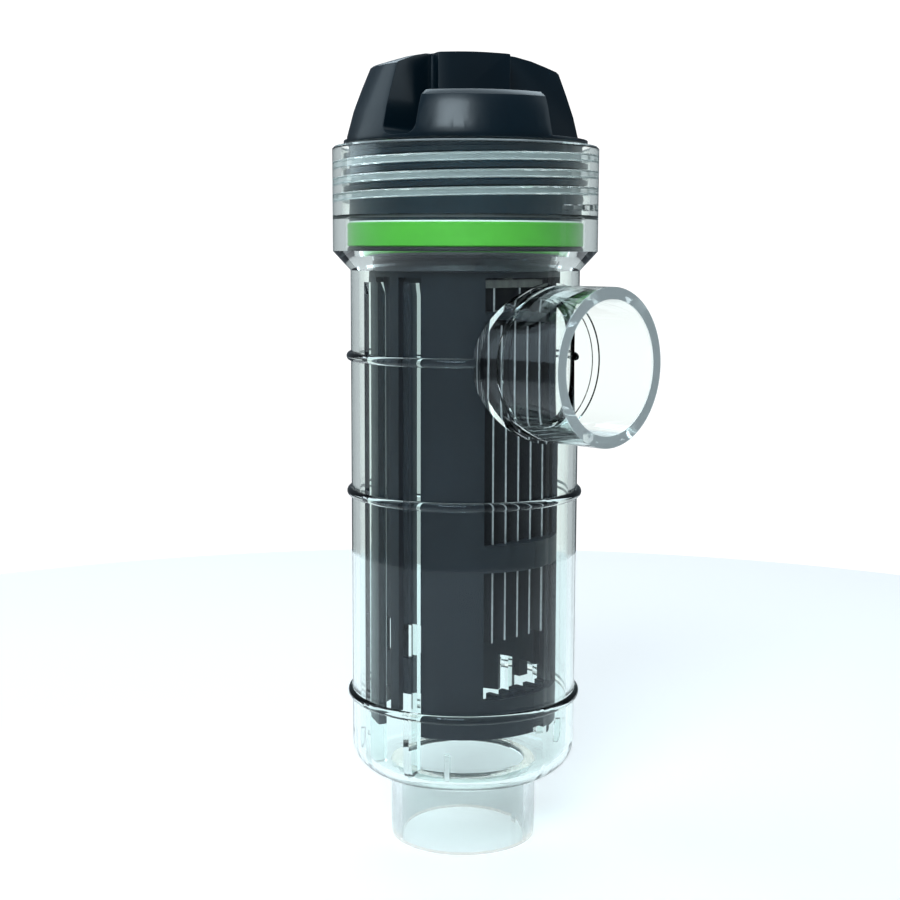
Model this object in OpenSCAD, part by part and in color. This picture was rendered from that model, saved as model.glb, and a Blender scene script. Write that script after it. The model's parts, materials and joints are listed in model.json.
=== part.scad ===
// In-line electrolytic water-treatment cell: a clear housing with a bottom and a side
// pipe spigot, a lift-out electrode cartridge keyed to its ribs, and a screw cap.
// The Z axis is the housing's axis, the origin is the centre of the bottom spigot's mouth
// and the side spigot points along +X.

/* [Pipe spigots] */
// Outside radius of both pipe spigots
spigot_r = 30.15; // [29.8:0.05:30.5]
// Radius of the bore through both spigots
spigot_bore_r = 25.6; // [24:0.1:26.5]
// Height of the side spigot's axis
port_z = 199.1; // [190:0.1:203]
// Distance from the housing's axis to the side spigot's mouth
port_reach = 76.2; // [70:0.1:90]

/* [Clear housing] */
// Outside radius of the body
body_r = 46.2; // [46:0.1:46.6]
// Wall thickness of the body
body_wall = 3.2; // [2.8:0.1:3.3]
// Height of the bowl's underside
bowl_z = 29; // [26:0.5:32]
// Radius of the bowl's rounded corner
bowl_corner_r = 12; // [9:0.5:14]
// Height at which the body widens into the shoulder
shoulder_z = 234.4; // [233:0.1:236]
// Outside radius of the threaded collar
collar_r = 53.2; // [52.8:0.1:55]
// Height of the collar's lower edge, above the chamfered shoulder
collar_z = 242; // [240:0.1:243]
// Height of the collar's rim
rim_z = 283; // [282:0.1:284]
// Heights of the three reinforcing beads
bead_zs = [61.2, 145, 200.1];
// Cross-section radius of a bead
bead_r = 1.8; // [1:0.1:2.2]

/* [Guide ribs] */
// Angle from the Y axis to each guide rib
rib_angle = 14.5; // [12:0.1:15]
// Width of a guide rib
rib_w = 3.7; // [2.5:0.1:4]
// Radius of a guide rib's inner edge
rib_in_r = 36.6; // [36.4:0.1:38]
// Angle from the Y axis to each centring fin in the bowl
fin_angle = 36; // [30:1:45]

/* [Thread] */
// Pitch of the right-hand cap thread
pitch = 6.35; // [6:0.05:6.5]
// Radius of the collar's bore between its thread ridges
collar_bore_r = 49.7; // [49.5:0.1:50]
// Crest radius of the collar's inward thread ridge
collar_crest_r = 47.6; // [47.4:0.1:47.9]
// Crest radius of the cap's outward thread ridge
cap_crest_r = 48.8; // [48.5:0.1:49]

/* [Screw cap] */
// Radius of the cap's threaded barrel
barrel_r = 46.6; // [46.2:0.1:46.8]
// Radius of the grip at its foot
grip_r = 48.6; // [48:0.1:49.4]
// Height of the top of the grip
cap_top_z = 319; // [318:0.1:321]
// Height of the two low grip lobes
low_lobe_z = 302; // [298:0.5:305]
// Width of the two finger slots
slot_w = 14.5; // [12:0.5:16]
// Height of the floors of the slots and recesses
slot_z = 285.4; // [285:0.1:289]
// Direction of the hub corner that faces the first recess, measured from +X
hub_azimuth = 12.7; // [0:0.1:45]
// Half the width of the grip's square hub
hub_half = 14.4; // [14:0.1:16]
// Direction of a recess's low side, measured from its hub corner's direction
recess_low_angle = -27.3; // [-32:0.1:-20]
// Direction of a recess's tall side, measured from its hub corner's direction
recess_tall_angle = 61.7; // [55:0.1:66]

/* [Cartridge] */
// Outside radius of the electrode cage
cage_r = 38.3; // [38:0.1:38.6]
// Wall thickness of the cage
cage_wall = 2.5; // [2:0.1:2.8]
// Height of the cage's lower edge
cage_low_z = 51; // [49:0.5:54]
// Half angle of each side window in the cage
window_angle = 34.2; // [30:0.1:36]
// Half angle of the keyway groove that clears the guide ribs
groove_angle = 19; // [18.5:0.1:21]
// Height of the cell head's sealing flange
flange_z = 243.8; // [243.6:0.1:244]
// Height of the green compression ring
band_h = 9.2; // [8:0.1:9.4]

/* [Electrodes] */
// Number of electrode plates
plate_count = 5; // [3:2:5]
// Spacing of the electrode plates
plate_pitch = 7.2; // [6:0.1:7.5]
// Thickness of an electrode plate
plate_t = 1; // [0.6:0.1:1.2]
// Half the width of an electrode plate
plate_half_w = 29.5; // [28:0.1:30]
// Height of the plates' lower edges
plate_low_z = 88.4; // [84:0.1:95]
// Height of the plates' shoulders, where the tabs start
plate_high_z = 213; // [205:0.5:214]

/* [Hidden] */
$fn = 96;
// Body, collar and seat
body_in_r = body_r - body_wall;
bowl_in_r = bowl_corner_r - body_wall;
bowl_arc_r = body_r - bowl_corner_r;
edge = 0.8;
port_stop_r = 25;
port_foot_r = spigot_r + 0.9;
port_foot_x = body_r + 0.7;
rib_low_z = 36;
rib_high_z = 230;
rib_lead = 5;
fin_in_r = 39.5;
fin_w = 2;
fin_high_z = 46;
fin_lead = 3;
seat_z = 241.4;
seat_bore_r = 48.2;
thread_low_z = 256;
thread_start_z = thread_low_z + 2.6;
thread_sink = 0.5;
collar_turns = 3.6;
cap_turns = 3;
lead_in = 1;
// Cap levels
cap_low_z = flange_z + band_h + 0.7;
cap_wall = 5.1;
cap_core_r = barrel_r - cap_wall;
cap_roof_z = 282.4;
hub_floor_z = 300;
recess_r = 12.2;
running_gap = 0.05;
grip_foot_z = rim_z + 0.6;
slot_fillet = 4;
grip_h = cap_top_z - slot_z + 1;
grip_straight_z = 286;
// Points up the tapered side of the grip and over its crown, as radius and height
grip_side = [[45.7, 296], [42.2, 304.6], [38.6, 312.7], [37.4, 313.6]];
grip_crown = [[32.4, 315.2], [26.4, 317], [19.4, 318.4], [13, 318.9]];
lobe_bevel = 2.2;
lobe_bevel_h = 5.2;
// Distance from a hub corner to a recess's tall side, along and across the corner
recess_step = 5.43;
// Cored-out pockets inside the lobes: angles are measured from the first hub corner
low_pocket = [22, 38, -65, -25, 297.5];
tall_pocket = [24, 34, 50.5, 67, 309];
// Head and its power inlet tower
flange_r = 43.3;
plug_r = 42.3;
plug_z = 236;
core_r = cage_r - cage_wall - 0.1;
core_z = 232;
head_top_z = flange_z + band_h;
tower_r = 9.5;
tower_in_r = 7.2;
tower_z = 317;
clip_z = hub_floor_z + 0.3;
clip_t = 1;
clip_groove_r = 8.6;
clip_gap_w = 7;
tower_notch = [8, 4.4, 5];
tower_notch_z = 260.8;
inlet_z = 284;
inlet_h = 8;
pin_x = 3.2;
pin_r = 1.6;
pin_top_z = 307.4;
wire_r = 1.3;
wire_end = 5.3;
eyelet_r = 5.6;
eyelet_t = 1;
// Studs, nuts and screws
stud_x = 22;
stud_r = 3;
stud_top_z = 269;
fit_gap = 0.05;
nut_h = 5;
washer_t = 1.2;
nut_r = 5.77;
screw_ring_r = 33;
screw_azimuths = [60, 120, 240, 300];
screw_r = 1.5;
screw_low_z = 222;
screw_head_r = 2.9;
screw_boss_r = 3.3;
counterbore = 3;
// Cage levels
cage_in_r = cage_r - cage_wall;
groove_in_r = 33;
groove_wall = 2.3;
ring_top_z = cage_low_z + 16;
notch_z = 67.8;
rail_angle = 3.4;
rail_low_z = 60;
eye_z = [82.3, 96];
crossbar_z = [117.8, 128.6];
split_angle = 0.1;
finger_t = 2.2;
// Plates
tab_in_x = 14;
tab_z = 228;
bus_h = 3;
spacer_z = 215;
spacer_h = 4;
spacer_w = 60.4;
spacer_hole_r = 3;
spacer_hole_x = 9;
comb_half_w = 17;
comb_bite = 1.2;
slot_gap = 0.1;

// Colours
clear = [0.86, 0.93, 0.93, 0.35];
navy = [0.07, 0.12, 0.17];
slate = [0.2, 0.24, 0.29];
green = [0.25, 0.66, 0.22];
black = [0.06, 0.06, 0.07];
titanium = [0.6, 0.6, 0.6];
coated = [0.2, 0.2, 0.23];
white = [0.93, 0.93, 0.9];
brass = [0.75, 0.6, 0.3];
steel = [0.72, 0.73, 0.75];

function plate_y(i) = (i - (plate_count - 1) / 2) * plate_pitch;
function tab_side(i) = i % 2 == 0 ? 1 : -1;

// ---- helpers ----

// An upright cylinder between two heights
module cylinder_from(r, z_low, z_high) {
    translate([0, 0, z_low])
        cylinder(r = r, h = z_high - z_low);
}

// A ring of the given radii between two heights
module ring(r_in, r_out, z_low, z_high) {
    translate([0, 0, z_low]) difference() {
        cylinder(r = r_out, h = z_high - z_low);
        translate([0, 0, -1]) cylinder(r = r_in, h = z_high - z_low + 2);
    }
}

// A curved bar: part of a ring, from one angle to another
module arc_bar(r_in, r_out, z_low, z_high, a_low, a_high) {
    rotate(a_low)
        rotate_extrude(angle = a_high - a_low)
            translate([r_in, z_low])
                square([r_out - r_in, z_high - z_low]);
}

// A helical ridge of trapezoid section, thinned out over a quarter turn at each end
module thread_ridge(r_root, r_crest, z_start, turns) {
    seg = 48;
    n = round(turns * seg);
    fade = seg / 4;
    w_root = 3.4;
    w_crest = 1.7;
    least = 0.2;
    function fullness(i) = max(least, min(1, i / fade, (n - i) / fade));
    function section(f) = [[r_root, -w_root / 2],
                           [r_root + (r_crest - r_root) * f, -w_crest / 2],
                           [r_root + (r_crest - r_root) * f, w_crest / 2],
                           [r_root, w_root / 2]];
    points = [for (i = [0:n]) let (a = i * 360 / seg) for (p = section(fullness(i)))
        [p[0] * cos(a), p[0] * sin(a), z_start + pitch * i / seg + p[1]]];
    flip = r_crest > r_root ? 1 : -1;
    function turned(t) = flip > 0 ? t : [t[2], t[1], t[0]];
    sides = [for (i = [0:n - 1]) for (j = [0:3])
        let (a = 4 * i + j, b = 4 * i + (j + 1) % 4)
        for (t = [[a, b, b + 4], [a, b + 4, a + 4]]) turned(t)];
    ends = [turned([0, 3, 2]), turned([0, 2, 1]),
            turned([4 * n, 4 * n + 1, 4 * n + 2]), turned([4 * n, 4 * n + 2, 4 * n + 3])];
    polyhedron(points = points, faces = concat(sides, ends), convexity = 6);
}

// ---- housing ----

module housing_outline() {
    square([spigot_r, bowl_z + body_wall]);
    translate([0, bowl_z])
        square([bowl_arc_r, bowl_corner_r]);
    translate([bowl_arc_r, bowl_z + bowl_corner_r])
        circle(bowl_corner_r);
    translate([0, bowl_z + bowl_corner_r])
        square([body_r, shoulder_z - bowl_z - bowl_corner_r]);
    polygon([[0, shoulder_z - 1], [body_r, shoulder_z - 1], [body_r, shoulder_z],
             [collar_r, collar_z], [collar_r, rim_z - edge], [collar_r - edge, rim_z],
             [0, rim_z]]);
    for (z = bead_zs)
        translate([body_r, z])
            circle(bead_r);
}

module housing_hollow() {
    floor_z = bowl_z + body_wall;
    translate([0, -1])
        square([spigot_bore_r, floor_z + 2]);
    translate([0, floor_z])
        square([bowl_arc_r, bowl_in_r]);
    translate([bowl_arc_r, floor_z + bowl_in_r])
        circle(bowl_in_r);
    translate([0, floor_z + bowl_in_r])
        square([body_in_r, seat_z - floor_z - bowl_in_r + 1]);
    polygon([[0, seat_z], [seat_bore_r, seat_z], [seat_bore_r, thread_low_z - 1.5],
             [collar_bore_r, thread_low_z], [collar_bore_r, rim_z - lead_in],
             [collar_bore_r + lead_in, rim_z + 0.01], [0, rim_z + 0.01]]);
}

// A vertical guide rib or fin on the inside of the wall, with a sloped lead-in on top
module wall_rib(azimuth, r_in, w, z_low, z_high, lead) {
    root_r = body_r - body_wall / 2;
    rotate(azimuth)
        rotate([90, 0, 0])
            translate([0, 0, -w / 2])
                linear_extrude(w)
                    polygon([[r_in, z_low], [root_r, z_low], [root_r, z_high],
                             [r_in + 1, z_high], [r_in, z_high - lead]]);
}

// A cylinder along the side spigot's axis between two distances from the housing's axis
module along_port(r, x_low, x_high) {
    translate([x_low, 0, port_z]) rotate([0, 90, 0])
        cylinder(r = r, h = x_high - x_low);
}

module housing() {
    color(clear) {
        difference() {
            union() {
                rotate_extrude() housing_outline();
                along_port(spigot_r, 0, port_reach);
                along_port(port_foot_r, 0, port_foot_x);
            }
            rotate_extrude() housing_hollow();
            along_port(port_stop_r, 0, port_reach);
            along_port(spigot_bore_r, body_r, port_reach + 1);
        }
        for (side = [90, -90])
            for (s = [-1, 1]) {
                wall_rib(side + s * rib_angle, rib_in_r, rib_w, rib_low_z, rib_high_z, rib_lead);
                wall_rib(side + s * fin_angle, fin_in_r, fin_w, rib_low_z, fin_high_z, fin_lead);
            }
        thread_ridge(collar_bore_r + thread_sink, collar_crest_r, thread_start_z, collar_turns);
    }
}

// ---- screw cap ----

module cap_outline() {
    foot = 0.6;
    square([barrel_r, grip_foot_z]);
    polygon(concat([[0, grip_foot_z], [grip_r - foot, grip_foot_z],
                    [grip_r, grip_foot_z + foot], [grip_r, grip_straight_z]],
                   grip_side, grip_crown, [[0, cap_top_z]]));
}

// A finger slot seen along its length: straight sides and a rounded floor
module slot_outline() {
    flat = slot_w / 2 - slot_fillet;
    for (s = [-1, 1])
        translate([s * flat, slot_fillet])
            circle(slot_fillet);
    translate([-flat, 0])
        square([2 * flat, slot_fillet]);
    translate([-slot_w / 2, slot_fillet])
        square([slot_w, grip_h]);
}

// A narrow slot with a rounded floor, running out from one corner of the square hub
module finger_slot() {
    difference() {
        translate([hub_half, 0, slot_z])
            rotate([90, 0, 90])
                linear_extrude(grip_r)
                    slot_outline();
        rotate(45)
            translate([-hub_half, -hub_half, slot_z - 1])
                cube([2 * hub_half, 2 * hub_half, 2 * grip_h]);
    }
}

// A wide recess between a low and a tall lobe, running out from the next hub corner
module wide_recess() {
    corner = hub_half * sqrt(2);
    far = 70;
    function ahead(angle) = far * [cos(angle), sin(angle)];
    translate([0, 0, slot_z])
        linear_extrude(grip_h)
            polygon([[corner, 0], [corner - recess_step, recess_step],
                     [corner - recess_step, recess_step] + ahead(recess_tall_angle),
                     [corner, 0] + 1.4 * ahead((recess_tall_angle + recess_low_angle) / 2),
                     [corner, 0] + ahead(recess_low_angle)]);
}

// Space above a low lobe, with a bevel round its top edge
module low_lobe_cut() {
    far = 60;
    top = grip_side[1];
    slope = (grip_r - top[0]) / (top[1] - grip_straight_z);
    lobe_r = grip_r - (low_lobe_z - grip_straight_z) * slope;
    translate([0, 0, low_lobe_z])
        linear_extrude(grip_h)
            polygon([[hub_half, -hub_half], [far, -far], [far, far], [hub_half, hub_half]]);
    rotate(-44)
        rotate_extrude(angle = 88)
            polygon([[lobe_r - lobe_bevel, low_lobe_z + 0.01], [lobe_r + 6, low_lobe_z + 0.01],
                     [lobe_r + 6, low_lobe_z - lobe_bevel_h]]);
}

// A pocket given by its two radii, two angles and top
module lobe_pocket(p) {
    arc_bar(p[0], p[1], cap_roof_z - 1, p[4], p[2], p[3]);
}

module screw_cap() {
    color(navy) difference() {
        union() {
            difference() {
                rotate_extrude() cap_outline();
                translate([0, 0, -1])
                    cylinder(r = barrel_r + 1, h = cap_low_z + 1);
            }
            thread_ridge(barrel_r - thread_sink, cap_crest_r, thread_start_z + pitch / 2,
                         cap_turns);
        }
        cylinder_from(cap_core_r, cap_low_z - 1, cap_roof_z);
        cylinder_from(tower_r + running_gap, cap_roof_z - 1, cap_top_z + 1);
        cylinder_from(recess_r, hub_floor_z, cap_top_z + 1);
        for (side = [0, 180])
            rotate(hub_azimuth + side) {
                wide_recess();
                rotate(-90) finger_slot();
                rotate(-45) low_lobe_cut();
                lobe_pocket(low_pocket);
                lobe_pocket(tall_pocket);
            }
    }
}

module slip_washer() {
    color(white)
        ring(cap_core_r + 0.4, barrel_r, head_top_z, head_top_z + 0.6);
}

// ---- head and seals ----

module green_ring() {
    color(green)
        rotate_extrude()
            polygon([[flange_r + 0.02, flange_z], [46.9, flange_z], [47.3, flange_z + 0.4],
                     [47.3, head_top_z - 0.4], [46.9, head_top_z],
                     [flange_r + 0.02, head_top_z]]);
}

module seal_ring() {
    squash = (flange_z - seat_z - 0.1) / 2;
    color(black)
        rotate_extrude()
            for (r = [44.9, 46.3])
                translate([r, flange_z - squash]) {
                    circle(squash);
                    if (r < 46)
                        translate([0, -squash]) square([1.4, 2 * squash]);
                }
}

module cell_head() {
    color(slate) difference() {
        union() {
            translate([0, 0, flange_z]) cylinder(r = flange_r, h = band_h);
            translate([0, 0, plug_z]) cylinder(r = plug_r, h = flange_z - plug_z);
            translate([0, 0, core_z]) cylinder(r = core_r, h = plug_z - core_z);
            cylinder_from(tower_r, head_top_z, tower_z);
        }
        cylinder_from(tower_in_r, head_top_z + counterbore, tower_z + 1);
        ring(clip_groove_r, tower_r + 1, clip_z - 0.1, clip_z + clip_t + 0.1);
        for (s = [-1, 1]) {
            translate([s * stud_x, 0, 0]) {
                cylinder_from(stud_r + fit_gap, core_z - 1, head_top_z + 1);
                cylinder_from(stud_r + 2.5, head_top_z - counterbore, head_top_z + 1);
            }
            translate([s * tower_r, 0, tower_notch_z])
                cube(tower_notch, center = true);
        }
        for (a = screw_azimuths)
            rotate(a) translate([screw_ring_r, 0, 0]) {
                cylinder_from(screw_r + fit_gap, core_z - 1, head_top_z + 1);
                cylinder_from(screw_head_r + 0.2, head_top_z - counterbore, head_top_z + 1);
            }
    }
}

module retaining_clip() {
    color(steel) difference() {
        ring(clip_groove_r + fit_gap, recess_r - 0.6, clip_z, clip_z + clip_t);
        translate([0, 6, clip_z + clip_t / 2])
            cube([clip_gap_w, 16, 3], center = true);
    }
}

module inlet_insert() {
    color(black) translate([0, 0, inlet_z]) difference() {
        cylinder(r = tower_in_r - fit_gap, h = inlet_h);
        for (s = [-1, 1])
            translate([s * pin_x, 0, -1]) cylinder(r = pin_r + fit_gap, h = inlet_h + 2);
    }
}

module inlet_pins() {
    color(brass)
        for (s = [-1, 1])
            translate([s * pin_x, 0, 0]) {
                cylinder_from(pin_r, inlet_z, pin_top_z);
                translate([0, 0, pin_top_z]) sphere(r = pin_r);
            }
}

// ---- terminals ----

module terminal_stud() {
    cylinder_from(stud_r, tab_z + bus_h, stud_top_z);
    translate([0, 0, stud_top_z])
        cylinder(r1 = stud_r, r2 = stud_r - 0.8, h = 1);
}

module cathode_stud() {
    color(titanium) translate([stud_x, 0, 0]) terminal_stud();
}

module anode_stud() {
    color(titanium) translate([-stud_x, 0, 0]) terminal_stud();
}

module stud_seals() {
    color(black)
        for (s = [-1, 1])
            translate([s * stud_x, 0, 0])
                ring(stud_r + fit_gap, stud_r + 2.4, head_top_z - counterbore,
                     head_top_z - 0.2);
}

module terminal_washers() {
    color(steel)
        for (s = [-1, 1])
            translate([s * stud_x, 0, 0])
                ring(stud_r + fit_gap, 6.4, head_top_z, head_top_z + washer_t);
}

// Two hexagon nuts on each stud, one under and one over the wire's eyelet, with a flat
// towards the wire
module terminal_nuts() {
    low = head_top_z + washer_t;
    color(steel)
        for (s = [-1, 1])
            for (z = [low, low + nut_h + eyelet_t])
                translate([s * stud_x, 0, z]) difference() {
                    rotate(30) cylinder(r = nut_r, h = nut_h, $fn = 6);
                    translate([0, 0, -1])
                        cylinder(r = stud_r + fit_gap, h = nut_h + 2);
                }
}

module link_wires() {
    eye = head_top_z + washer_t + nut_h;
    wire_z = eye + eyelet_t / 2;
    color(brass)
        for (s = [0, 180])
            rotate(s) {
                translate([stud_x, 0, 0])
                    ring(stud_r + fit_gap, eyelet_r, eye, eye + eyelet_t);
                translate([pin_x, 0, wire_z]) {
                    rotate([0, 90, 0])
                        cylinder(r = wire_r, h = stud_x - pin_x - wire_end);
                    sphere(r = wire_r);
                    cylinder(r = wire_r, h = inlet_z - wire_z);
                }
            }
}

// ---- cage ----

// The half of the cage on the -Y side; the other half is the same piece turned round
module cage_half() {
    g = groove_angle;
    difference() {
        union() {
            difference() {
                arc_bar(cage_in_r, cage_r, cage_low_z, plug_z, 180 + split_angle,
                        360 - split_angle);
                arc_bar(cage_in_r - 1, cage_r + 1, cage_low_z - 1, core_z, 270 - g, 270 + g);
            }
            arc_bar(groove_in_r, groove_in_r + groove_wall, notch_z, core_z, 270 - g, 270 + g);
            for (a = [270 - g - 3.2, 270 + g])
                arc_bar(groove_in_r, cage_r, notch_z, core_z, a, a + 3.2);
            arc_bar(groove_in_r, cage_r, rail_low_z, core_z, 270 - rail_angle,
                    270 + rail_angle);
            for (a = [screw_azimuths[2], screw_azimuths[3]])
                rotate(a) translate([screw_ring_r, 0, 0])
                    cylinder_from(screw_boss_r, screw_low_z, core_z);
        }
        // side windows above and below the crossbar
        for (w = [[180, 180 + window_angle], [360 - window_angle, 360]])
            for (z = [[ring_top_z, crossbar_z[0]], [crossbar_z[1], core_z]])
                arc_bar(cage_in_r - 1, cage_r + 1, z[0], z[1], w[0], w[1]);
        // windows beside the key rail
        for (a = [270 - g, 270 + rail_angle])
            arc_bar(groove_in_r - 1, groove_in_r + groove_wall + 0.5, eye_z[0], eye_z[1],
                    a, a + g - rail_angle);
        // relief at one end of the lower edge
        arc_bar(cage_in_r - 1, cage_r + 1, cage_low_z - 1, cage_low_z + 1.8, 180, 192);
        for (a = [screw_azimuths[2], screw_azimuths[3]])
            rotate(a) translate([screw_ring_r, 0, 0])
                cylinder_from(screw_r + fit_gap, screw_low_z - 1, core_z + 1);
    }
    // fingers on the lower ring, one for each plate
    for (s = [-1, 1])
        for (y = [-finger_t / 2 - 0.1, -plate_pitch, -2 * plate_pitch])
            intersection() {
                translate([s * 32, y, ring_top_z - 3])
                    cube([9, finger_t, 8], center = true);
                cylinder_from(cage_in_r + 0.3, cage_low_z, 100);
            }
}

module cage_front_half() {
    color(slate) cage_half();
}

module cage_rear_half() {
    color(slate) rotate(180) cage_half();
}

module cage_screws() {
    color(steel)
        for (a = screw_azimuths)
            rotate(a) translate([screw_ring_r, 0, 0]) {
                cylinder_from(screw_r, screw_low_z + 1, head_top_z - counterbore);
                difference() {
                    cylinder_from(screw_head_r, head_top_z - counterbore, head_top_z - 0.4);
                    translate([0, 0, head_top_z - 1])
                        cube([0.8, 7, 1.4], center = true);
                }
            }
}

// ---- plates and their spacers ----

// A plate with a tab on one side that reaches its bus bar
module electrode_plate(i) {
    y = plate_y(i);
    side = tab_side(i);
    color(coated)
        translate([0, y + plate_t / 2, 0]) rotate([90, 0, 0]) linear_extrude(plate_t) {
            translate([-plate_half_w, plate_low_z])
                square([2 * plate_half_w, plate_high_z - plate_low_z]);
            translate([side > 0 ? tab_in_x : -plate_half_w, plate_high_z - 1])
                square([plate_half_w - tab_in_x, tab_z - plate_high_z + 1]);
        }
}

module plate_1() { electrode_plate(0); }
module plate_2() { electrode_plate(1); }
module plate_3() { electrode_plate(2); }
module plate_4() { electrode_plate(3); }
module plate_5() { electrode_plate(4); }

// Bar that joins the tabs of one polarity and carries the stud
module bus_bar(side, reach) {
    color(titanium)
        translate([side > 0 ? tab_in_x + 3 : -tab_in_x - 13, -reach, tab_z])
            cube([10, 2 * reach, bus_h]);
}

module cathode_bus() { bus_bar(1, 2 * plate_pitch + 2); }
module anode_bus() { bus_bar(-1, plate_pitch + 2); }

module upper_spacer() {
    color(slate) difference() {
        intersection() {
            cylinder_from(cage_in_r - 0.3, spacer_z, spacer_z + spacer_h);
            translate([0, 0, spacer_z])
                cube([2 * cage_r, spacer_w, 4 * spacer_h], center = true);
        }
        for (i = [0:plate_count - 1])
            translate([tab_side(i) > 0 ? tab_in_x - slot_gap : -plate_half_w - slot_gap,
                       plate_y(i) - plate_t / 2 - slot_gap, spacer_z - 1])
                cube([plate_half_w - tab_in_x + 2 * slot_gap, plate_t + 2 * slot_gap,
                      spacer_h + 2]);
        for (x = [-spacer_hole_x, 0, spacer_hole_x])
            translate([x, 0, 0])
                cylinder_from(spacer_hole_r, spacer_z - 1, spacer_z + spacer_h + 1);
    }
}

// Comb behind a crossbar, with a slot for each plate's edge
module comb(side) {
    color(slate) rotate(side > 0 ? 0 : 180) difference() {
        intersection() {
            translate([plate_half_w - comb_bite, -comb_half_w, crossbar_z[0] + 1])
                cube([10, 2 * comb_half_w, crossbar_z[1] - crossbar_z[0] - 2]);
            cylinder_from(cage_in_r - fit_gap, crossbar_z[0], crossbar_z[1]);
        }
        for (i = [0:plate_count - 1])
            translate([plate_half_w - comb_bite - 1, plate_y(i) - plate_t / 2 - slot_gap,
                       crossbar_z[0]])
                cube([comb_bite + 1.2, plate_t + 2 * slot_gap, crossbar_z[1] - crossbar_z[0]]);
    }
}

module comb_port_side() { comb(1); }
module comb_far_side() { comb(-1); }

// ---- nodes ----

housing();
screw_cap();
slip_washer();
green_ring();
seal_ring();
cell_head();
cage_front_half();
cage_rear_half();
cage_screws();
upper_spacer();
comb_port_side();
comb_far_side();
plate_1();
plate_2();
plate_3();
plate_4();
plate_5();
cathode_bus();
anode_bus();
cathode_stud();
anode_stud();
stud_seals();
terminal_washers();
terminal_nuts();
link_wires();
inlet_insert();
inlet_pins();
retaining_clip();
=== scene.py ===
import json
import math

import bmesh
import bpy
from mathutils import Matrix, Vector


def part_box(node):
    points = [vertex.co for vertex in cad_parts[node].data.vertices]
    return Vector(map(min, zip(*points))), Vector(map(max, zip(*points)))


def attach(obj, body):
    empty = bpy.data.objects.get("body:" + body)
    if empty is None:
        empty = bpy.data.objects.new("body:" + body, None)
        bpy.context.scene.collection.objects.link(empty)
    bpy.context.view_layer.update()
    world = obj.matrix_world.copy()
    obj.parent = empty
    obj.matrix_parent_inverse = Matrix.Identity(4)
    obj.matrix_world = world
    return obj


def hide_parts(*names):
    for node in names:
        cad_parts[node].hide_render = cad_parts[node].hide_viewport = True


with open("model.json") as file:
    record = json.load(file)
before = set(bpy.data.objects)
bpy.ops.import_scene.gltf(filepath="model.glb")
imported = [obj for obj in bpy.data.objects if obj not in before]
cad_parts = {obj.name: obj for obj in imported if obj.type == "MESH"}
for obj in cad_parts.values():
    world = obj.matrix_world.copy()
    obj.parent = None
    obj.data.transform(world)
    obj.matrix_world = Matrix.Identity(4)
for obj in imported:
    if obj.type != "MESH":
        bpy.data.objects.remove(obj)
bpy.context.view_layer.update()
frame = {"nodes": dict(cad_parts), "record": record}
NODES = frame["nodes"]


# ---- node helpers ----

def material(name):
    """A new node material and its Principled shader."""
    made = bpy.data.materials.new(name)
    made.use_nodes = True
    tree = made.node_tree
    shader = next(n for n in tree.nodes if n.type == "BSDF_PRINCIPLED")
    return made, tree, shader


def add(tree, kind, **settings):
    """A node of that kind, with its properties and its inputs set by name."""
    node = tree.nodes.new(kind)
    for key, value in settings.items():
        if key in node.inputs:
            node.inputs[key].default_value = value
        else:
            setattr(node, key, value)
    return node


def set_inputs(node, values):
    """Sets a node's unlinked inputs by name."""
    for key, value in values.items():
        node.inputs[key].default_value = value


def object_coordinates(tree, scale=(1, 1, 1)):
    """The piece's own coordinates, in metres, stretched by scale."""
    place = add(tree, "ShaderNodeTexCoord")
    stretch = add(tree, "ShaderNodeMapping")
    stretch.inputs["Scale"].default_value = scale
    tree.links.new(place.outputs["Object"], stretch.inputs["Vector"])
    return stretch.outputs["Vector"]


def noise(tree, vector, scale, detail=2.0, roughness=0.5):
    """Noise from 0 to 1, with scale in waves a metre."""
    grain = add(tree, "ShaderNodeTexNoise")
    set_inputs(grain, {"Scale": scale, "Detail": detail, "Roughness": roughness})
    tree.links.new(vector, grain.inputs["Vector"])
    return grain.outputs["Fac"]


def ramp(tree, value, low, high, at=(0.3, 0.7)):
    """value spread between two colours."""
    spread = add(tree, "ShaderNodeValToRGB")
    first, last = spread.color_ramp.elements
    first.position, last.position = at
    first.color, last.color = (*low, 1), (*high, 1)
    tree.links.new(value, spread.inputs["Fac"])
    return spread.outputs["Color"]


def span(tree, value, low, high, at_low, at_high):
    """A number that goes from at_low to at_high while value goes from low to high."""
    spread = add(tree, "ShaderNodeMapRange")
    set_inputs(spread, {"From Min": low, "From Max": high, "To Min": at_low,
                        "To Max": at_high})
    tree.links.new(value, spread.inputs["Value"])
    return spread.outputs["Result"]


def level(tree, value, low, high):
    """value from 0..1 spread between two numbers."""
    return span(tree, value, 0, 1, low, high)


def combine(tree, operation, first, second):
    """One number made from two by a Math node."""
    both = add(tree, "ShaderNodeMath", operation=operation)
    tree.links.new(first, both.inputs[0])
    tree.links.new(second, both.inputs[1])
    return both.outputs["Value"]


def bump(tree, shader, height, strength, distance, after=None):
    """A bump of that height in metres, on top of another one."""
    relief = add(tree, "ShaderNodeBump")
    set_inputs(relief, {"Strength": strength, "Distance": distance})
    tree.links.new(height, relief.inputs["Height"])
    if after is not None:
        tree.links.new(after, relief.inputs["Normal"])
    tree.links.new(relief.outputs["Normal"], shader.inputs["Normal"])
    return relief.outputs["Normal"]


# ---- materials ----

# How clear the housing is at its thread's crests, at its rims and at its foot, from 0 to 1
RIDGE_CLEAR = 0.72
RIM_CLEAR = 0.5
FOOT_CLEAR = 0.86
# What the clear walls let past to the lamps' shadows
SHADOW_TINT = (0.93, 0.96, 0.95)


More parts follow.
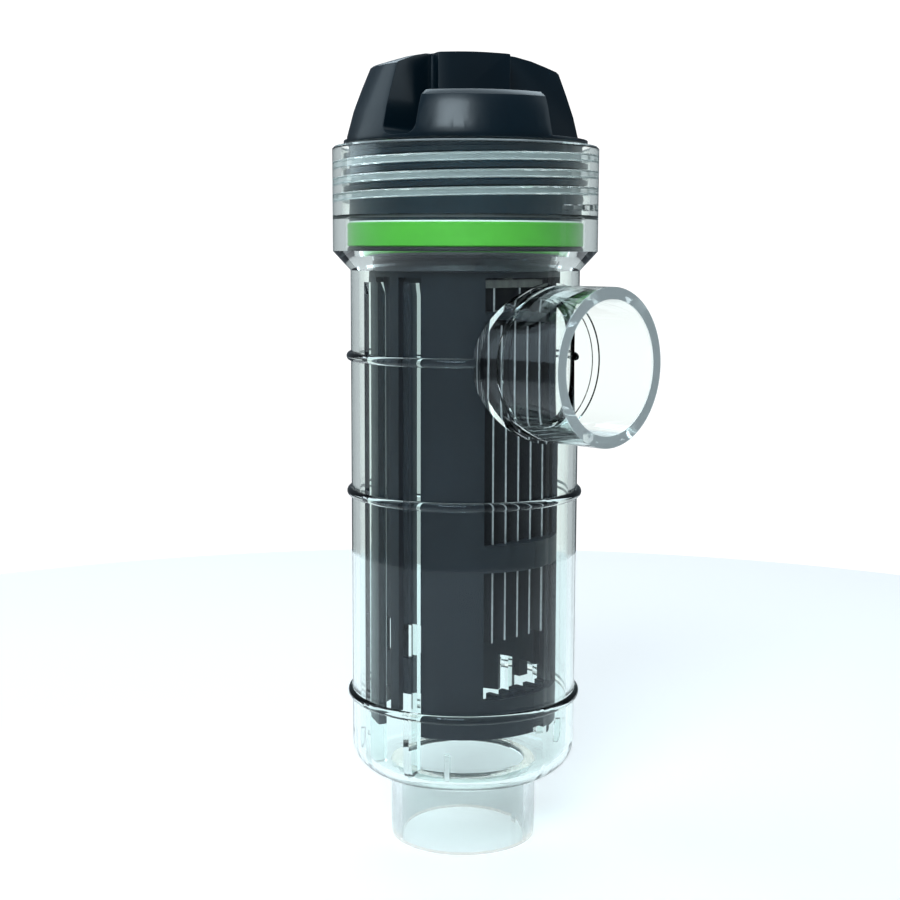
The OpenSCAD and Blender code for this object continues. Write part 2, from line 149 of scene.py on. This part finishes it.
def clear_plastic(name, tint, foot_painted_shade, roughness):
    """Moulded clear plastic: a slight waviness, a foot greyed by painted shade, duller ridges and
    rims.

    Lamps shine through it."""
    foot_low, foot_high = 0.012, 0.034
    thread_low, crest_r, bore_r = 0.2556, 0.0476, 0.0497
    rim_band = 0.001
    gloss_scale, wave_scale, fine_scale = 40, 26, 190
    top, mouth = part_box("housing")[1][2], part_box("housing")[1][0]
    made, tree, shader = material(name)
    set_inputs(shader, {"IOR": 1.5, "Specular Tint": (0.27, 0.29, 0.32, 1)})
    coordinates = object_coordinates(tree)
    place = add(tree, "ShaderNodeSeparateXYZ")
    tree.links.new(coordinates, place.inputs["Vector"])
    across, height = place.outputs["X"], place.outputs["Z"]
    radius = add(tree, "ShaderNodeVectorMath", operation="LENGTH")
    tree.links.new(object_coordinates(tree, (1, 1, 0)), radius.inputs[0])

    # painted shade: the base colour greys from the plastic's tint to a darker grey towards the
    # foot, standing in for the shade inside the spigot
    rise = span(tree, height, foot_low, foot_high, 0, 1)
    tree.links.new(ramp(tree, rise, foot_painted_shade, tint, (0.0, 1.0)), shader.inputs["Base Color"])
    ridge = combine(tree, "MAXIMUM",
                    span(tree, radius.outputs["Value"], crest_r, bore_r, RIDGE_CLEAR, 1),
                    span(tree, height, thread_low - rim_band, thread_low, 1, 0))
    rims = combine(tree, "MINIMUM",
                   span(tree, across, mouth - rim_band, mouth, 1, RIM_CLEAR),
                   span(tree, height, top - rim_band, top, 1, RIM_CLEAR))
    foot = span(tree, height, 0, foot_high, FOOT_CLEAR, 1)
    clear = combine(tree, "MINIMUM", combine(tree, "MINIMUM", ridge, rims), foot)
    tree.links.new(clear, shader.inputs["Transmission Weight"])

    cloud = noise(tree, coordinates, gloss_scale)
    tree.links.new(level(tree, cloud, roughness * 0.6, roughness * 1.4),
                   shader.inputs["Roughness"])
    wave = noise(tree, object_coordinates(tree, (1, 1, 0.45)), wave_scale, 1.0)
    soft = bump(tree, shader, wave, 0.12, 0.0008)
    bump(tree, shader, noise(tree, coordinates, fine_scale), 0.08, 0.00005, soft)

    rays = add(tree, "ShaderNodeLightPath")
    open_to_lamps = add(tree, "ShaderNodeBsdfTransparent")
    open_to_lamps.inputs["Color"].default_value = (*SHADOW_TINT, 1)
    either = add(tree, "ShaderNodeMixShader")
    out = next(n for n in tree.nodes if n.type == "OUTPUT_MATERIAL")
    tree.links.new(rays.outputs["Is Shadow Ray"], either.inputs["Fac"])
    tree.links.new(shader.outputs["BSDF"], either.inputs[1])
    tree.links.new(open_to_lamps.outputs["BSDF"], either.inputs[2])
    tree.links.new(either.outputs["Shader"], out.inputs["Surface"])
    return made


def moulded(name, dark, light, roughness, grain=700, relief=0.00004, coat=0.0, spec=0.5):
    """Coloured moulded plastic: a faint drift of colour, a fine skin and uneven gloss."""
    made, tree, shader = material(name)
    drift_scale, gloss_scale = 22, 60
    place = object_coordinates(tree)
    drift = noise(tree, place, drift_scale, 3.0)
    skin = noise(tree, place, grain, 2.0)
    tree.links.new(ramp(tree, drift, dark, light), shader.inputs["Base Color"])
    gloss = level(tree, noise(tree, place, gloss_scale, 3.0), roughness * 0.82,
                  roughness * 1.2)
    tree.links.new(gloss, shader.inputs["Roughness"])
    set_inputs(shader, {"Coat Weight": coat, "Coat Roughness": 0.12,
                        "Specular IOR Level": spec})
    bump(tree, shader, skin, 0.35, relief)
    return made


def metal(name, dark, light, roughness, stretch=(1, 1, 1), grain=300):
    """Bare metal with fine marks along the stretched way."""
    made, tree, shader = material(name)
    place = object_coordinates(tree, stretch)
    marks = noise(tree, place, grain, 3.0)
    tree.links.new(ramp(tree, marks, dark, light), shader.inputs["Base Color"])
    gloss = level(tree, marks, roughness * 0.8, roughness * 1.3)
    tree.links.new(gloss, shader.inputs["Roughness"])
    shader.inputs["Metallic"].default_value = 1.0
    bump(tree, shader, marks, 0.2, 0.00003)
    return made


def coated_plate(name):
    """An electrode plate: dark oxide on the faces, bare pale titanium on the cut edges."""
    cloud_scale, speck_scale = 55, 900
    made, tree, shader = material(name)
    place = object_coordinates(tree, (1, 1, 0.35))
    cloud = noise(tree, place, cloud_scale, 4.0, 0.6)
    speck = noise(tree, object_coordinates(tree), speck_scale, 2.0)
    face = ramp(tree, cloud, (0.012, 0.012, 0.016), (0.05, 0.045, 0.05))
    edge = ramp(tree, speck, (0.30, 0.30, 0.31), (0.52, 0.52, 0.54))
    where = add(tree, "ShaderNodeTexCoord")
    split = add(tree, "ShaderNodeSeparateXYZ")
    flat = add(tree, "ShaderNodeMath", operation="ABSOLUTE")
    cut = add(tree, "ShaderNodeMath", operation="LESS_THAN")
    cut.inputs[1].default_value = 0.5
    both = add(tree, "ShaderNodeMix", data_type="RGBA")
    first_colour, second_colour, mixed_colour = 6, 7, 2
    tree.links.new(where.outputs["Normal"], split.inputs["Vector"])
    tree.links.new(split.outputs["Y"], flat.inputs[0])
    tree.links.new(flat.outputs["Value"], cut.inputs[0])
    tree.links.new(cut.outputs["Value"], both.inputs["Factor"])
    tree.links.new(face, both.inputs[first_colour])
    tree.links.new(edge, both.inputs[second_colour])
    tree.links.new(both.outputs[mixed_colour], shader.inputs["Base Color"])
    tree.links.new(level(tree, cloud, 0.35, 0.6), shader.inputs["Roughness"])
    shader.inputs["Metallic"].default_value = 0.35
    bump(tree, shader, speck, 0.4, 0.00005)
    return made


MATERIALS = {
    # the second colour is painted shade that greys the housing towards its foot
    "clear_plastic": clear_plastic("clear plastic", (0.89, 0.955, 0.94), (0.72, 0.75, 0.745),
                                   0.02),
    "navy_plastic": moulded("navy plastic", (0.0015, 0.008, 0.014), (0.003, 0.013, 0.021),
                            0.32, coat=0.1, spec=0.32),
    "slate_plastic": moulded("slate plastic", (0.004, 0.006, 0.01), (0.009, 0.012, 0.018),
                             0.42, spec=0.3),
    "green_plastic": moulded("green plastic", (0.055, 0.33, 0.02), (0.08, 0.4, 0.03), 0.36),
    "white_plastic": moulded("white plastic", (0.74, 0.74, 0.7), (0.84, 0.84, 0.8), 0.4),
    "black_plastic": moulded("black plastic", (0.014, 0.014, 0.016), (0.024, 0.024, 0.027),
                             0.38),
    "seal_rubber": moulded("seal rubber", (0.011, 0.011, 0.012), (0.02, 0.02, 0.021), 0.62,
                           grain=1200, spec=0.3),
    "coated_titanium": coated_plate("coated titanium"),
    "titanium": metal("titanium", (0.13, 0.13, 0.13), (0.2, 0.2, 0.19), 0.4,
                      stretch=(1, 1, 0.1)),
    "steel": metal("steel", (0.52, 0.53, 0.55), (0.68, 0.69, 0.71), 0.25),
    "brass": metal("brass", (0.56, 0.4, 0.15), (0.76, 0.57, 0.25), 0.3),
}


def dress_cad_nodes():
    """Gives every CAD node the material of its slot."""
    for part in frame["record"]["subparts"]:
        node = NODES[part["node"]]
        node.data.materials.clear()
        node.data.materials.append(MATERIALS[part["material_slot"]])


def soften_cap():
    """A copy of the cap whose grip has small rounded edges, so that they catch the light."""
    width, steps = 0.0006, 3
    same_place, same_plane = 1e-6, math.radians(0.5)
    sharp_angle, shade_angle = math.radians(25), math.radians(32)
    grip_foot, recess_r = 0.2838, 0.0125
    source = NODES["screw_cap"]
    place = source.matrix_world
    mesh = source.data.copy()
    mesh.name = "soft cap"
    work = bmesh.new()
    work.from_mesh(mesh)
    bmesh.ops.remove_doubles(work, verts=work.verts, dist=same_place)
    bmesh.ops.dissolve_limit(work, angle_limit=same_plane, verts=work.verts,
                             edges=work.edges)

    def on_grip(edge):
        ends = [place @ v.co for v in edge.verts]
        return (min(end.z for end in ends) > grip_foot
                and max(math.hypot(*end.xy) for end in ends) > recess_r)

    sharp = [e for e in work.edges
             if len(e.link_faces) == 2 and e.calc_face_angle(0) > sharp_angle and on_grip(e)]
    bmesh.ops.bevel(work, geom=sharp, offset=width, offset_type="OFFSET", segments=steps,
                    profile=0.5, affect="EDGES", clamp_overlap=True)
    for face in work.faces:
        face.smooth = True
    for e in work.edges:
        e.smooth = len(e.link_faces) == 2 and e.calc_face_angle(0) < shade_angle
    work.to_mesh(mesh)
    work.free()
    cap = bpy.data.objects.new("soft_cap", mesh)
    bpy.context.scene.collection.objects.link(cap)
    cap.matrix_world = place
    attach(cap, "cap")
    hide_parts("screw_cap")


dress_cad_nodes()
soften_cap()


# ---- stage, lamps and camera ----

BACKDROP = 1.12  # brightness of the white backdrop
ROOM = (0.1, 0.12, 0.14)  # the dim room that the object mirrors
WALL_LIGHT = (0.6, 0.64, 0.66)  # the room as it shows after bouncing inside the clear walls
TABLE_RADIUS = 0.62
LAMP_AIM = (0, 0, 0.16)  # the point that every lamp faces
CAMERA_BEARING = -45.62  # degrees round the housing's axis from +X


def pale_table():
    """A white table top, lifted a little so that it meets the backdrop."""
    made, tree, shader = material("pale table")
    cloud = noise(tree, object_coordinates(tree), 3, 2.0)
    tree.links.new(ramp(tree, cloud, (0.92, 0.92, 0.92), (0.95, 0.95, 0.95)),
                   shader.inputs["Base Color"])
    set_inputs(shader, {"Roughness": 0.8, "Specular IOR Level": 0.1,
                        "Emission Color": (1.0, 0.93, 0.88, 1), "Emission Strength": 0.3})
    return made


def build_table():
    """A round white table top with a soft edge."""
    mesh = bpy.data.meshes.new("table")
    work = bmesh.new()
    turns, edge, steps = 128, 0.01, 4
    rings = []
    for k in range(steps + 1):
        a = math.radians(90 * k / steps)
        r, z = TABLE_RADIUS - edge + edge * math.sin(a), edge * (math.cos(a) - 1)
        rings.append([work.verts.new((r * math.cos(t), r * math.sin(t), z))
                      for t in (2 * math.pi * n / turns for n in range(turns))])
    work.faces.new(rings[0])
    for high, low in zip(rings, rings[1:]):
        for k in range(turns):
            n = (k + 1) % turns
            work.faces.new((high[k], low[k], low[n], high[n])).smooth = True
    work.to_mesh(mesh)
    work.free()
    mesh.materials.append(pale_table())
    table = bpy.data.objects.new("table", mesh)
    bpy.context.scene.collection.objects.link(table)


def soft_lamp(name, turn, rise, away, size, watts, colour=(0.76, 0.91, 1.0)):
    """A softbox, turned from the camera's bearing and raised, both in degrees."""
    lamp = bpy.data.lights.new(name, "AREA")
    lamp.shape = "RECTANGLE"
    lamp.size, lamp.size_y = size
    lamp.energy = watts
    lamp.color = colour
    obj = bpy.data.objects.new(name, lamp)
    aim = Vector(LAMP_AIM)
    bearing, up = math.radians(CAMERA_BEARING + turn), math.radians(rise)
    way = Vector((math.cos(up) * math.cos(bearing), math.cos(up) * math.sin(bearing),
                  math.sin(up)))
    obj.location = aim + away * way
    obj.rotation_euler = (-way).to_track_quat("-Z", "Y").to_euler()
    bpy.context.scene.collection.objects.link(obj)
    obj.visible_camera = False


def build_lamps():
    soft_lamp("key softbox", -14, 42, 1.3, (0.55, 0.45), 10)
    soft_lamp("left softbox", -100, 28, 1.2, (0.9, 0.9), 4)
    soft_lamp("right softbox", 105, 30, 1.3, (0.6, 0.9), 1.5)
    soft_lamp("back softbox", 180, 45, 1.3, (0.9, 0.6), 5)
    soft_lamp("top softbox", 0, 89, 1.2, (1.0, 1.0), 4)


def build_backdrop():
    """A white backdrop seen directly or through the clear walls, and a dim room in gloss."""
    world = bpy.data.worlds.new("studio")
    world.use_nodes = True
    tree = world.node_tree
    white = next(n for n in tree.nodes if n.type == "BACKGROUND")
    out = next(n for n in tree.nodes if n.type == "OUTPUT_WORLD")
    set_inputs(white, {"Color": (1, 1, 1, 1), "Strength": BACKDROP})
    room = add(tree, "ShaderNodeBackground")
    set_inputs(room, {"Color": (*ROOM, 1), "Strength": 1.0})
    inside = add(tree, "ShaderNodeBackground")
    set_inputs(inside, {"Color": (*WALL_LIGHT, 1), "Strength": 1.0})
    rays = add(tree, "ShaderNodeLightPath")
    bounced = add(tree, "ShaderNodeMath", operation="ADD", use_clamp=True)
    tree.links.new(rays.outputs["Glossy Depth"], bounced.inputs[0])
    tree.links.new(rays.outputs["Diffuse Depth"], bounced.inputs[1])
    # a path that bounced about inside the clear walls and left them sees more of the studio
    indirect = add(tree, "ShaderNodeMixShader")
    tree.links.new(rays.outputs["Is Transmission Ray"], indirect.inputs["Fac"])
    tree.links.new(room.outputs["Background"], indirect.inputs[1])
    tree.links.new(inside.outputs["Background"], indirect.inputs[2])
    either = add(tree, "ShaderNodeMixShader")
    tree.links.new(bounced.outputs["Value"], either.inputs["Fac"])
    tree.links.new(white.outputs["Background"], either.inputs[1])
    tree.links.new(indirect.outputs["Shader"], either.inputs[2])
    tree.links.new(either.outputs["Shader"], out.inputs["Surface"])
    bpy.context.scene.world = world


def build_camera():
    """The camera, at its bearing from +X round the housing's axis, turned and tipped a little."""
    distance, height = 0.6208, 0.24275
    pan, tilt, roll = 0.544, -7.484, 0.166
    eye = bpy.data.cameras.new("camera")
    eye.sensor_width = 36
    eye.lens = 61.1
    eye.clip_start = 0.02
    eye.clip_end = 30
    obj = bpy.data.objects.new("camera", eye)
    bearing = math.radians(CAMERA_BEARING)
    place = Matrix.Translation((distance * math.cos(bearing), distance * math.sin(bearing),
                                height))
    heading = Matrix.Rotation(math.radians(CAMERA_BEARING + 90 + pan), 4, "Z")
    level_eye = Matrix.Rotation(math.radians(90 + tilt), 4, "X")
    leaning = Matrix.Rotation(math.radians(roll), 4, "Z")
    obj.matrix_world = place @ heading @ level_eye @ leaning
    bpy.context.scene.collection.objects.link(obj)
    bpy.context.scene.camera = obj


build_table()
build_lamps()
build_backdrop()
build_camera()
bpy.context.scene.view_settings.view_transform = "Standard"
